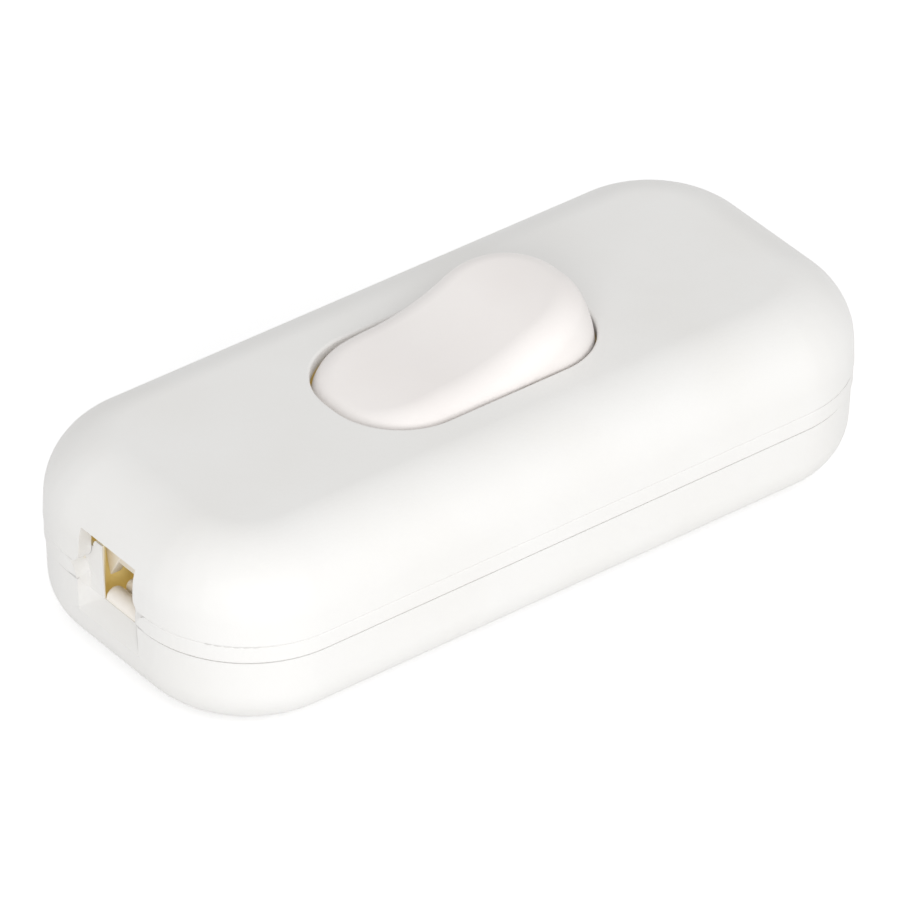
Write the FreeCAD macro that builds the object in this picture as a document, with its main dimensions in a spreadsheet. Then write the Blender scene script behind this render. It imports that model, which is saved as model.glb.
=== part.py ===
"""Inline cord switch: a two-part moulded housing with a rocker, worked as a parametric document.

Frame: millimetres, +Z up, origin at the middle of the flat underside, +X along the length.
The rocker is drawn level about its own axis and placed tilted, with its -X end pressed.
"""

import FreeCAD, Part
import Sketcher
import math
import os
import re

# Driving sizes, in millimetres and degrees
SIZES = {
    # housing
    "body_length": 80.0,
    "body_width": 35.5,
    "body_height": 19.4,
    "corner_radius": 11.9,
    "seam_height": 10.3,
    "cover_wall": 1.5,
    "cover_edge_radius": 7.0,
    "base_wall": 2.2,
    "base_floor": 1.8,
    "base_edge_radius": 4.7,
    "wall_draft": 2.0,
    "seam_step": 0.08,
    "seam_round": 0.2,
    "band_drop": 1.7,
    "band_step": 0.12,
    "band_groove": 0.22,
    "fit_clearance": 0.1,
    "lip_rise": 1.5,
    # cord entry, the same at both ends
    "notch_width": 8.3,
    "notch_rise": 3.6,
    "notch_flare": 1.4,
    "mouth_width": 9.2,
    "mouth_bottom": 5.1,
    "mouth_flare": 1.8,
    "mouth_depth": 1.6,
    "tongue_width": 8.0,
    "tongue_wall": 0.8,
    "tongue_rise": 2.6,
    "tongue_round": 1.0,
    "slot_width": 4.7,
    "slot_floor": 6.9,
    "slot_draft": 0.35,
    # cord bed and clamp
    "bed_height": 5.6,
    "bed_width": 7.2,
    "bed_length": 5.6,
    "ridge_height": 8.0,
    "ridge_place": 0.75,
    "ridge_pitch": 2.1,
    "ridge_radius": 0.45,
    "clamp_inset": 5.0,
    "clamp_spacing": 13.0,
    "clamp_seat": 11.4,
    "clamp_width": 3.8,
    "clamp_plate": 2.0,
    "clamp_tooth": 0.9,
    "clamp_point": 1.9,
    "clamp_tooth_width": 6.2,
    # rocker and its bearings
    "opening_length": 28.6,
    "opening_width": 16.4,
    "opening_radius": 7.5,
    "opening_edge_radius": 0.3,
    "rocker_gap": 0.3,
    "rocker_axis_depth": 3.0,
    "rocker_tilt": 12.0,
    "rocker_middle": 1.95,
    "crown_spacing": 17.0,
    "near_crown": 2.7,
    "near_crown_radius": 28.0,
    "far_crown": 2.95,
    "far_crown_radius": 15.0,
    "rocker_roundover": 2.8,
    "rocker_skirt": 2.6,
    "rocker_wall": 1.5,
    "rocker_roof": 2.0,
    "trunnion_radius": 1.5,
    "trunnion_length": 2.6,
    "running_clearance": 0.06,
    "lug_width": 6.4,
    "lug_wall": 2.4,
    # switch mechanism, one set for each pole
    "pole_offset": 4.0,
    "barrier_height": 9.5,
    "barrier_wall": 1.0,
    "plinth_height": 1.6,
    "plinth_margin": 2.0,
    "strip_wall": 0.8,
    "strip_width": 3.6,
    "lever_axis_height": 6.4,
    "lever_length": 18.0,
    "lever_wall": 1.0,
    "lever_width": 3.4,
    "lever_tilt": 8.0,
    "contact_radius": 1.4,
    "contact_height": 0.8,
    "contact_inset": 1.8,
    "closed_gap": 0.05,
    "plunger_radius": 1.25,
    "plunger_top": 3.6,
    "plunger_gap": 0.3,
    "bore_clearance": 0.08,
    "boss_wall": 0.8,
    "boss_drop": 6.2,
    "bore_roof": 2.2,
    "spring_wire": 0.32,
    "spring_pitch": 1.25,
    "knife_wall": 0.8,
    "knife_radius": 0.2,
    # terminals
    "terminal_offset": 5.2,
    "terminal_length": 7.0,
    "terminal_width": 6.0,
    "terminal_height": 6.4,
    "terminal_bore": 1.5,
    "terminal_bore_height": 2.8,
    "guide_wall": 0.8,
    # screws
    "terminal_screw_radius": 1.4,
    "terminal_head_radius": 2.4,
    "clamp_screw_radius": 1.4,
    "clamp_head_radius": 2.3,
    "clamp_screw_length": 8.0,
    "housing_screw_radius": 1.5,
    "housing_head_radius": 3.0,
    "housing_screw_length": 12.0,
    "screw_head_height": 1.7,
    "housing_screw_inset": 12.0,
    "housing_screw_y": 9.4,
    "housing_screw_recess": 3.2,
    "screw_clearance": 0.06,
    "screw_end_room": 0.8,
}

DOC = FreeCAD.newDocument("inline_cord_switch")
SHEET = DOC.addObject("Spreadsheet::Sheet", "Sizes")
PARTS = []


def fill_sheet():
    """One row for each size: its name beside its value."""
    for row, (name, value) in enumerate(SIZES.items(), start=1):
        SHEET.set(f"A{row}", name)
        SHEET.set(f"B{row}", str(value))
        SHEET.setAlias(f"B{row}", name)
    DOC.recompute()


def bound(text):
    """An expression in size names, written so that it reads them from the sheet."""
    return re.sub(r"[a-z]+(?:_[a-z]+)+", lambda word: "Sizes." + word.group(0), str(text))


def value(text):
    """The number that an expression in size names has now."""
    result = SHEET.evalExpression(bound(text))
    return float(getattr(result, "Value", result))


def new_body(name, exported=True):
    body = DOC.addObject("PartDesign::Body", name)
    body.Label = name
    if exported:
        PARTS.append(body)
    return body


def new_sketch(body, name, role, offset="0"):
    """A sketch on one of the body's own origin planes, moved along that plane's normal."""
    sketch = body.newObject("Sketcher::SketchObject", name)
    planes = {feature.Role: feature for feature in body.Origin.OriginFeatures}
    sketch.AttachmentSupport = [(planes[role], "")]
    sketch.MapMode = "FlatFace"
    sketch.setExpression("AttachmentOffset.Base.z", bound(offset))
    return sketch


def pin_point(sketch, edge, end, place):
    """Holds one end of an edge at a place given by two expressions."""
    for kind, text in zip(("DistanceX", "DistanceY"), place):
        index = sketch.addConstraint(Sketcher.Constraint(kind, -1, 1, edge, end, value(text)))
        sketch.setExpression(f"Constraints[{index}]", bound(text))


def arc_between(start, stop, radius):
    """An arc that runs anticlockwise from one point to another, no more than half a turn."""
    half = (stop - start) / 2
    across = FreeCAD.Vector(-half.y, half.x, 0).normalize()
    centre = start + half + across * math.sqrt(max(radius ** 2 - half.Length ** 2, 0))
    angles = [math.atan2(point.y - centre.y, point.x - centre.x) for point in (start, stop)]
    return Part.ArcOfCircle(Part.Circle(centre, FreeCAD.Vector(0, 0, 1), radius), *angles)


def draw_polygon(sketch, corners, arcs=None):
    """A closed run of lines through corners held by expressions.

    arcs gives the radius of each edge that is an arc, by the number of the corner where it starts;
    a radius with a minus sign in front bends the edge clockwise.
    """
    arcs = arcs or {}
    first = sketch.GeometryCount
    points = [FreeCAD.Vector(value(x), value(y), 0) for x, y in corners]
    count = len(points)
    starts, stops = [1] * count, [2] * count
    for index in range(count):
        start, stop = points[index], points[(index + 1) % count]
        edge = Part.LineSegment(start, stop)
        if index in arcs:
            clockwise, radius = arcs[index].startswith("-"), arcs[index].lstrip("-")
            edge = arc_between(stop, start, value(radius)) if clockwise else arc_between(start, stop, value(radius))
            starts[index], stops[index] = (2, 1) if clockwise else (1, 2)
        sketch.addGeometry(edge, False)
    for index in range(count):
        after = (index + 1) % count
        ends = (first + index, stops[index], first + after, starts[after])
        sketch.addConstraint(Sketcher.Constraint("Coincident", *ends))
    for index, corner in enumerate(corners):
        pin_point(sketch, first + index, starts[index], corner)
    for index, text in arcs.items():
        radius = text.lstrip("-")
        held = sketch.addConstraint(Sketcher.Constraint("Radius", first + index, value(radius)))
        sketch.setExpression(f"Constraints[{held}]", bound(radius))


def draw_circle(sketch, centre, radius):
    place = FreeCAD.Vector(value(centre[0]), value(centre[1]), 0)
    edge = sketch.addGeometry(Part.Circle(place, FreeCAD.Vector(0, 0, 1), value(radius)), False)
    pin_point(sketch, edge, 3, centre)
    index = sketch.addConstraint(Sketcher.Constraint("Radius", edge, value(radius)))
    sketch.setExpression(f"Constraints[{index}]", bound(radius))


def draw_rounded_rectangle(sketch, length, width, radius):
    """A rectangle about the origin whose corners are tangent arcs of one radius."""
    first = sketch.GeometryCount
    half_length, half_width, round_radius = value(length) / 2, value(width) / 2, value(radius)
    flat_x, flat_y = half_length - round_radius, half_width - round_radius
    corners = [(flat_x, -flat_y, 270), (flat_x, flat_y, 0), (-flat_x, flat_y, 90), (-flat_x, -flat_y, 180)]
    arcs = []
    for x, y, start in corners:
        circle = Part.Circle(FreeCAD.Vector(x, y, 0), FreeCAD.Vector(0, 0, 1), round_radius)
        arcs.append(Part.ArcOfCircle(circle, math.radians(start), math.radians(start + 90)))
    for index, arc in enumerate(arcs):
        after = arcs[(index + 1) % 4]
        sketch.addGeometry(arc, False)
        sketch.addGeometry(Part.LineSegment(arc.EndPoint, after.StartPoint), False)
    for index in range(4):
        arc, line = first + 2 * index, first + 2 * index + 1
        after = first + (2 * index + 2) % 8
        sketch.addConstraint(Sketcher.Constraint("Tangent", arc, 2, line, 1))
        sketch.addConstraint(Sketcher.Constraint("Tangent", line, 2, after, 1))
        sketch.addConstraint(Sketcher.Constraint("Vertical" if index % 2 == 0 else "Horizontal", line))
        if index:
            sketch.addConstraint(Sketcher.Constraint("Equal", first, arc))
    sides = (
        ("DistanceX", 1, f"({length}) / 2"),
        ("DistanceY", 3, f"({width}) / 2"),
        ("DistanceX", 5, f"-({length}) / 2"),
        ("DistanceY", 7, f"-({width}) / 2"),
    )
    for kind, line, text in sides:
        index = sketch.addConstraint(Sketcher.Constraint(kind, -1, 1, first + line, 1, value(text)))
        sketch.setExpression(f"Constraints[{index}]", bound(text))
    index = sketch.addConstraint(Sketcher.Constraint("Radius", first, round_radius))
    sketch.setExpression(f"Constraints[{index}]", bound(radius))


def extrude(body, kind, name, sketch, length, reverse=False, both_sides=False, draft=None):
    """A pad or a pocket of a sketch; the length may be an expression."""
    before = body.Shape.Volume if body.Tip and not body.Shape.isNull() else 0.0
    feature = body.newObject(f"PartDesign::{kind}", name)
    feature.Profile = sketch
    feature.setExpression("Length", bound(length))
    feature.Reversed = reverse
    if both_sides:
        feature.SideType = "Symmetric"
    if draft:
        feature.setExpression("TaperAngle", bound(draft))
    DOC.recompute()
    change = feature.Shape.Volume - before
    if (kind == "Pocket" and change >= 0) or (kind == "Pad" and change <= 0):
        raise RuntimeError(f"{body.Label}: {name} changes nothing")
    return feature


def pad(body, name, sketch, length, **how):
    return extrude(body, "Pad", name, sketch, length, **how)


def pocket(body, name, sketch, length, **how):
    return extrude(body, "Pocket", name, sketch, length, **how)


def box(body, kind, name, role, corners, length, offset="0", arcs=None, **how):
    """A pad or pocket of one polygon."""
    sketch = new_sketch(body, name + "_sketch", role, offset)
    draw_polygon(sketch, corners, arcs)
    return extrude(body, kind, name, sketch, length, **how)


def rectangle(low_x, high_x, low_y, high_y):
    return [(low_x, low_y), (high_x, low_y), (high_x, high_y), (low_x, high_y)]


def round_edges(body, name, radius, chosen, kind="Fillet"):
    """A fillet or chamfer on the edges of the body's last feature that chosen() accepts."""
    base = body.Tip
    names = [f"Edge{i}" for i, edge in enumerate(base.Shape.Edges, start=1) if chosen(edge)]
    if not names:
        raise RuntimeError(f"{body.Label}: {name} finds no edges")
    feature = body.newObject(f"PartDesign::{kind}", name)
    feature.Base = (base, names)
    feature.setExpression("Radius" if kind == "Fillet" else "Size", bound(radius))
    DOC.recompute()
    return feature


def mirror(body, name, originals, role):
    """The same features again on the other side of one of the body's origin planes."""
    planes = {feature.Role: feature for feature in body.Origin.OriginFeatures}
    feature = body.newObject("PartDesign::Mirrored", name)
    feature.Originals = originals
    feature.MirrorPlane = (planes[role], [""])
    body.Tip = feature
    DOC.recompute()
    return feature


RAISE_FAR_END = (0, -1, 0)
LOWER_FAR_END = (0, 1, 0)
ABOUT_HEIGHT = (0, 0, 1)


def place(item, x="0", y="0", z="0", axis=ABOUT_HEIGHT, angle="0"):
    """Moves an object to a point and turns it about an axis, all by expressions."""
    item.Placement = FreeCAD.Placement(FreeCAD.Vector(), FreeCAD.Rotation(FreeCAD.Vector(*axis), value(angle)))
    if angle != "0":
        item.setExpression("Placement.Rotation.Angle", bound(angle))
    for direction, text in zip("xyz", (x, y, z)):
        item.setExpression(f"Placement.Base.{direction}", bound(text))


def edge_span(edge):
    """Lowest and highest x, y and z of points spread along an edge."""
    points = edge.discretize(9)
    spans = [(min(run), max(run)) for run in zip(*[(p.x, p.y, p.z) for p in points])]
    return tuple(limit for span in spans for limit in span)


def flat_at(edge, height, tolerance=0.01):
    """True for an edge that lies at one height."""
    span = edge_span(edge)
    return abs(span[4] - height) < tolerance and abs(span[5] - height) < tolerance


# Places that several sub-parts share
MOUTH_FACE = "body_length / 2 - mouth_depth"
TONGUE_TOP = "seam_height + tongue_rise"
LIP_INSET = "cover_wall + fit_clearance"
ROCKER_AXIS = "body_height - rocker_axis_depth"
WAVE_END = "opening_length * 0.6"
BORE_RADIUS = "plunger_radius + bore_clearance"
HOUSING_SCREW_X = "(body_length / 2 - housing_screw_inset)"
TERMINAL_X = "(opening_length / 2 + terminal_offset)"
TERMINAL_END = f"({TERMINAL_X} + terminal_length / 2)"
CONTACT_X = "(lever_length / 2 - contact_inset)"
PLINTH_TOP = "base_floor + plinth_height"
STRIP_TOP = "base_floor + plinth_height + strip_wall"


def housing_outline(sketch, inset):
    """The plan of the housing at the seam, moved inwards."""
    draw_rounded_rectangle(
        sketch, f"body_length - 2 * ({inset})", f"body_width - 2 * ({inset})", f"corner_radius - ({inset})"
    )


def base_shell_walls(body):
    """The tray: a proud band under the seam, drafted sides, and a hollow with rounded corners."""
    band = new_sketch(body, "band_sketch", "XY_Plane", "seam_height")
    housing_outline(band, "seam_step")
    pad(body, "band", band, "band_drop", reverse=True)
    seam = value("seam_height")
    round_edges(body, "seam_round", "seam_round", lambda edge: flat_at(edge, seam))
    tray = new_sketch(body, "tray_sketch", "XY_Plane", "seam_height - band_drop")
    housing_outline(tray, "seam_step + band_step")
    pad(body, "tray", tray, "seam_height - band_drop", reverse=True, draft="-wall_draft")
    round_edges(body, "underside_round", "base_edge_radius", lambda edge: flat_at(edge, 0))
    groove = new_sketch(body, "groove_sketch", "XY_Plane", "seam_height - band_drop")
    housing_outline(groove, "-seam_step")
    housing_outline(groove, "seam_step + band_step + band_groove")
    pocket(body, "band_groove", groove, "band_groove")
    hollow = new_sketch(body, "hollow_sketch", "XY_Plane", "seam_height")
    housing_outline(hollow, "base_wall")
    pocket(body, "hollow", hollow, "seam_height - base_floor")
    floor = value("base_floor")
    round_edges(body, "hollow_round", "base_edge_radius - base_floor", lambda edge: flat_at(edge, floor))
    lip = new_sketch(body, "lip_sketch", "XY_Plane", "seam_height - base_floor")
    housing_outline(lip, LIP_INSET)
    housing_outline(lip, "base_wall")
    pad(body, "lip", lip, "lip_rise + base_floor")


def base_cord_entry(body):
    """Mouth, sloped sill, tongue with its cord slot, and the ridged bed behind, at both ends."""
    half_mouth = "mouth_width / 2"
    mouth = [
        (f"-{half_mouth}", "mouth_bottom"),
        (half_mouth, "mouth_bottom"),
        (half_mouth, "seam_height - mouth_flare"),
        (f"{half_mouth} + mouth_flare", "seam_height"),
        (f"{half_mouth} + mouth_flare", "seam_height + lip_rise + 1"),
        (f"-{half_mouth} - mouth_flare", "seam_height + lip_rise + 1"),
        (f"-{half_mouth} - mouth_flare", "seam_height"),
        (f"-{half_mouth}", "seam_height - mouth_flare"),
    ]
    rounds = {2: "-mouth_flare", 6: "-mouth_flare"}
    cut_mouth = box(
        body, "Pocket", "mouth", "YZ_Plane", mouth, "mouth_depth + 1", offset="body_length / 2 + 1", arcs=rounds
    )
    sill = [
        ("body_length / 2 - seam_step - band_step", "mouth_bottom"),
        (MOUTH_FACE, "slot_floor"),
        (f"{MOUTH_FACE} - tongue_wall", "slot_floor"),
        (f"{MOUTH_FACE} - tongue_wall", "mouth_bottom"),
    ]
    add_sill = box(body, "Pad", "sill", "XZ_Plane", sill, "mouth_width", both_sides=True)
    half_tongue = "tongue_width / 2"
    tongue = [
        (f"-{half_tongue}", "mouth_bottom"),
        (half_tongue, "mouth_bottom"),
        (half_tongue, f"{TONGUE_TOP} - tongue_round"),
        (f"{half_tongue} - tongue_round", TONGUE_TOP),
        (f"-{half_tongue} + tongue_round", TONGUE_TOP),
        (f"-{half_tongue}", f"{TONGUE_TOP} - tongue_round"),
    ]
    rounds = {2: "tongue_round", 4: "tongue_round"}
    add_tongue = box(
        body, "Pad", "tongue", "YZ_Plane", tongue, "tongue_wall", offset=MOUTH_FACE, arcs=rounds, reverse=True
    )
    slot = [
        ("-slot_width / 2", "slot_floor"),
        ("slot_width / 2", "slot_floor"),
        ("slot_width / 2 + slot_draft", f"{TONGUE_TOP} + 0.5"),
        ("-slot_width / 2 - slot_draft", f"{TONGUE_TOP} + 0.5"),
    ]
    cut_slot = box(
        body, "Pocket", "slot", "YZ_Plane", slot, "mouth_depth + tongue_wall + 1.5", offset="body_length / 2 + 1"
    )
    bed_start = f"{MOUTH_FACE} - tongue_wall"
    bed_end = f"{bed_start} - bed_length"
    first = f"{bed_start} - ridge_place"
    second = f"{first} - ridge_pitch"
    shoulder = "ridge_height - ridge_radius"
    bed_root = f"{bed_start} + tongue_wall / 2"
    bed = [
        (bed_root, "base_floor + (base_edge_radius - base_floor) * 0.4"),
        (bed_root, "bed_height"),
        (f"{first} + ridge_radius", "bed_height"),
        (f"{first} + ridge_radius", shoulder),
        (first, "ridge_height"),
        (f"{first} - ridge_radius", shoulder),
        (f"{first} - ridge_radius", "bed_height"),
        (f"{second} + ridge_radius", "bed_height"),
        (f"{second} + ridge_radius", shoulder),
        (second, "ridge_height"),
        (f"{second} - ridge_radius", shoulder),
        (f"{second} - ridge_radius", "bed_height"),
        (bed_end, "bed_height"),
        (bed_end, "base_floor * 0.75"),
        (f"{bed_root} - (base_edge_radius - base_floor) * 0.8", "base_floor * 0.75"),
    ]
    rounds = {corner: "ridge_radius" for corner in (3, 4, 8, 9)}
    add_bed = box(body, "Pad", "cord_bed", "XZ_Plane", bed, "bed_width", arcs=rounds, both_sides=True)
    mirror(body, "near_entry", [cut_mouth, add_sill, add_tongue, cut_slot, add_bed], "YZ_Plane")


def base_supports(body):
    """Plinths, barrier, terminal guides, rocker posts and screw bosses on the floor."""
    plinth_end = f"{TERMINAL_END} + plinth_margin"
    plinths = new_sketch(body, "plinth_sketch", "XY_Plane", "base_floor / 2")
    for side in ("-", ""):
        edges = (f"{side}pole_offset - terminal_width / 2", f"{side}pole_offset + terminal_width / 2")
        draw_polygon(plinths, rectangle(f"-({plinth_end})", plinth_end, *edges))
    pad(body, "plinths", plinths, "base_floor / 2 + plinth_height")
    barrier = rectangle(f"-({plinth_end})", plinth_end, "-barrier_wall / 2", "barrier_wall / 2")
    box(body, "Pad", "barrier", "XY_Plane", barrier, "barrier_height - base_floor / 2", offset="base_floor / 2")
    guide = "pole_offset + terminal_width / 2 + fit_clearance"
    guides = new_sketch(body, "guide_sketch", "XY_Plane", "base_floor / 2")
    for end in ("-1", "1"):
        for side in ("-1", "1"):
            near_x, far_x = f"{end} * ({TERMINAL_END} - terminal_length)", f"{end} * {TERMINAL_END}"
            near_y, far_y = f"{side} * ({guide})", f"{side} * ({guide} + guide_wall)"
            draw_polygon(guides, rectangle(near_x, far_x, near_y, far_y))
    pad(body, "guides", guides, "base_floor / 2 + plinth_height + terminal_height / 2")
    post_y = "opening_width / 2 + lug_wall / 2 + fit_clearance"
    post_half = "trunnion_radius * 0.9"
    post = rectangle(f"-{post_half}", post_half, f"{post_y} - lug_wall * 0.35", f"{post_y} + lug_wall * 0.35")
    add_post = box(
        body, "Pad", "rocker_post", "XY_Plane", post, f"{ROCKER_AXIS} - base_floor / 2", offset="base_floor / 2"
    )
    mirror(body, "rocker_posts", [add_post], "XZ_Plane")
    seat = new_sketch(body, "seat_sketch", "XZ_Plane")
    draw_circle(seat, ("0", ROCKER_AXIS), "trunnion_radius + running_clearance")
    pocket(body, "trunnion_seats", seat, "body_width", both_sides=True)


def base_bosses(body):
    """Clamp bosses at both ends, and the two bosses that the housing screws pass through."""
    clamp_x = "body_length / 2 - clamp_inset"
    boss_radius = "clamp_screw_radius + boss_wall"
    bosses = new_sketch(body, "clamp_boss_sketch", "XY_Plane", "base_floor / 2")
    holes = new_sketch(body, "clamp_hole_sketch", "XY_Plane", "clamp_seat")
    for end in ("-1", "1"):
        for side in ("-1", "1"):
            centre = (f"{end} * ({clamp_x})", f"{side} * clamp_spacing / 2")
            draw_circle(bosses, centre, boss_radius)
            draw_circle(holes, centre, "clamp_screw_radius + screw_clearance")
    pad(body, "clamp_bosses", bosses, "clamp_seat - base_floor / 2")
    pocket(body, "clamp_holes", holes, "clamp_screw_length - clamp_plate + screw_end_room")
    head = "housing_head_radius"
    posts = new_sketch(body, "screw_boss_sketch", "XY_Plane", "base_floor / 2")
    passages = new_sketch(body, "screw_hole_sketch", "XY_Plane", "seam_height")
    recesses = new_sketch(body, "screw_recess_sketch", "XY_Plane")
    for end, side in (("-1", "1"), ("1", "-1")):
        centre = (f"{end} * {HOUSING_SCREW_X}", f"{side} * housing_screw_y")
        draw_circle(posts, centre, f"{head} + boss_wall")
        draw_circle(passages, centre, "housing_screw_radius + screw_clearance")
        draw_circle(recesses, centre, f"{head} + fit_clearance")
    pad(body, "screw_bosses", posts, "seam_height - base_floor / 2")
    pocket(body, "screw_passages", passages, "seam_height + 1")
    pocket(body, "screw_recesses", recesses, "housing_screw_recess", reverse=True)


def base_shell():
    body = new_body("base_shell")
    base_shell_walls(body)
    base_cord_entry(body)
    base_supports(body)
    base_bosses(body)


def cover_shell_walls(body):
    """The domed cover, hollow from below; inner bosses are added before its top edge is rounded."""
    outline = new_sketch(body, "rim_sketch", "XY_Plane", "seam_height")
    housing_outline(outline, "0")
    pad(body, "block", outline, "body_height - seam_height", draft="-wall_draft")
    seam = value("seam_height")
    round_edges(body, "seam_round", "seam_round", lambda edge: flat_at(edge, seam))
    hollow = new_sketch(body, "hollow_sketch", "XY_Plane", "seam_height")
    housing_outline(hollow, "cover_wall")
    pocket(body, "hollow", hollow, "body_height - seam_height - cover_wall", reverse=True)
    roof = value("body_height - cover_wall")
    round_edges(body, "hollow_round", "cover_edge_radius - cover_wall", lambda edge: flat_at(edge, roof))


def cover_bosses(body):
    """Bearing lugs for the trunnions and bosses for the housing screws, under the roof."""
    lug_start = "opening_width / 2 + fit_clearance"
    lug_bottom = f"{ROCKER_AXIS} - trunnion_radius"
    lug = rectangle("-lug_width / 2", "lug_width / 2", lug_start, f"{lug_start} + lug_wall")
    lug_height = f"body_height - cover_wall / 2 - ({lug_bottom})"
    add_lug = box(body, "Pad", "lug", "XY_Plane", lug, lug_height, offset=lug_bottom)
    mirror(body, "lugs", [add_lug], "XZ_Plane")
    bearing = new_sketch(body, "bearing_sketch", "XZ_Plane")
    draw_circle(bearing, ("0", ROCKER_AXIS), "trunnion_radius + running_clearance")
    pocket(body, "bearings", bearing, "opening_width + 2 * lug_wall + 1", both_sides=True)
    half_slot = "trunnion_radius + running_clearance"
    slot = rectangle(f"-({half_slot})", half_slot, f"{lug_bottom} - 1", ROCKER_AXIS)
    box(
        body, "Pocket", "bearing_slots", "XZ_Plane", slot, "opening_width + 2 * lug_wall + 1", both_sides=True
    )
    bosses = new_sketch(body, "screw_boss_sketch", "XY_Plane", "seam_height")
    holes = new_sketch(body, "screw_hole_sketch", "XY_Plane", "seam_height")
    for end, side in (("-1", "1"), ("1", "-1")):
        centre = (f"{end} * {HOUSING_SCREW_X}", f"{side} * housing_screw_y")
        draw_circle(bosses, centre, "housing_head_radius")
        draw_circle(holes, centre, "housing_screw_radius + screw_clearance")
    pad(body, "screw_bosses", bosses, "body_height - seam_height - cover_wall / 2")
    tip = "housing_screw_recess + housing_screw_length"
    pocket(body, "screw_holes", holes, f"{tip} + screw_end_room - seam_height", reverse=True)


def cover_openings(body):
    """The rocker opening in the roof and the cord notch in each end wall."""
    opening = new_sketch(body, "opening_sketch", "XY_Plane", "body_height")
    draw_rounded_rectangle(opening, "opening_length", "opening_width", "opening_radius")
    pocket(body, "rocker_opening", opening, "cover_wall * 1.5")
    half_length, half_width = value("opening_length / 2"), value("opening_width / 2")

    def at_opening(edge, height):
        low_x, high_x, low_y, high_y, low_z, high_z = edge_span(edge)
        inside = max(-low_x, high_x) < half_length + 0.1 and max(-low_y, high_y) < half_width + 0.1
        return inside and abs(low_z - height) < 0.01 and abs(high_z - height) < 0.01

    top = value("body_height")
    round_edges(body, "opening_round", "opening_edge_radius", lambda edge: at_opening(edge, top))
    half = "notch_width / 2"
    notch = [
        (f"-{half}", "seam_height + notch_flare"),
        (f"-{half} - notch_flare", "seam_height"),
        (f"-{half} - notch_flare", "seam_height - 1"),
        (f"{half} + notch_flare", "seam_height - 1"),
        (f"{half} + notch_flare", "seam_height"),
        (half, "seam_height + notch_flare"),
        (half, "seam_height + notch_rise"),
        (f"-{half}", "seam_height + notch_rise"),
    ]
    rounds = {0: "-notch_flare", 4: "-notch_flare"}
    depth = "cover_wall * 2 + 1"
    cut = box(body, "Pocket", "notch", "YZ_Plane", notch, depth, offset="body_length / 2 + 1", arcs=rounds)
    mirror(body, "notches", [cut], "YZ_Plane")


def cover_shell():
    body = new_body("cover_shell")
    cover_shell_walls(body)
    cover_bosses(body)
    length, width = value("body_length"), value("body_width")
    top = value("body_height")

    def outer_top(edge):
        low_x, high_x, low_y, high_y, low_z, high_z = edge_span(edge)
        near_side = high_x > length * 0.3 or low_x < -length * 0.3
        return low_z > top - 0.01 and (near_side or abs(high_y) > width * 0.4)

    round_edges(body, "top_round", "cover_edge_radius", outer_top)
    cover_openings(body)


def rocker_barrel(body):
    """Skirt turned about the rocker axis, so that its gap to the opening stays even as it tilts."""
    axis_to_top = "rocker_axis_depth"
    end_radius = f"sqrt((opening_length / 2 - rocker_gap)^2 + {axis_to_top}^2)"
    half_width = "opening_width / 2 - rocker_gap"
    corner = "opening_radius - rocker_gap"
    sketch = new_sketch(body, "plan_sketch", "XY_Plane")
    reach, side, rounding = value(end_radius), value(half_width), value(corner)
    flat_x, flat_y = reach - rounding, side - rounding
    vector = FreeCAD.Vector
    arcs = []
    for centre_y, start in ((-flat_y, 270), (flat_y, 0)):
        circle = Part.Circle(vector(flat_x, centre_y, 0), vector(0, 0, 1), rounding)
        arcs.append(Part.ArcOfCircle(circle, math.radians(start), math.radians(start + 90)))
    outline = [
        Part.LineSegment(vector(0, -side, 0), arcs[0].StartPoint),
        arcs[0],
        Part.LineSegment(arcs[0].EndPoint, arcs[1].StartPoint),
        arcs[1],
        Part.LineSegment(arcs[1].EndPoint, vector(0, side, 0)),
        Part.LineSegment(vector(0, side, 0), vector(0, -side, 0)),
    ]
    for piece in outline:
        sketch.addGeometry(piece, False)
    for before, after in ((0, 1), (1, 2), (2, 3), (3, 4)):
        sketch.addConstraint(Sketcher.Constraint("Tangent", before, 2, after, 1))
    sketch.addConstraint(Sketcher.Constraint("Coincident", 4, 2, 5, 1))
    sketch.addConstraint(Sketcher.Constraint("Coincident", 5, 2, 0, 1))
    for line in (0, 4):
        sketch.addConstraint(Sketcher.Constraint("Horizontal", line))
    sketch.addConstraint(Sketcher.Constraint("Vertical", 2))
    sketch.addConstraint(Sketcher.Constraint("Equal", 1, 3))
    pin_point(sketch, 0, 1, ("0", f"-({half_width})"))
    pin_point(sketch, 4, 2, ("0", half_width))
    for kind, edge, text in (("DistanceX", 2, end_radius), ("Radius", 1, corner)):
        if kind == "Radius":
            index = sketch.addConstraint(Sketcher.Constraint(kind, edge, value(text)))
        else:
            index = sketch.addConstraint(Sketcher.Constraint(kind, -1, 1, edge, 1, value(text)))
        sketch.setExpression(f"Constraints[{index}]", bound(text))
    barrel = body.newObject("PartDesign::Revolution", "barrel")
    barrel.Profile = sketch
    barrel.ReferenceAxis = (sketch, ["V_Axis"])
    barrel.Angle = 360
    DOC.recompute()


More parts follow.
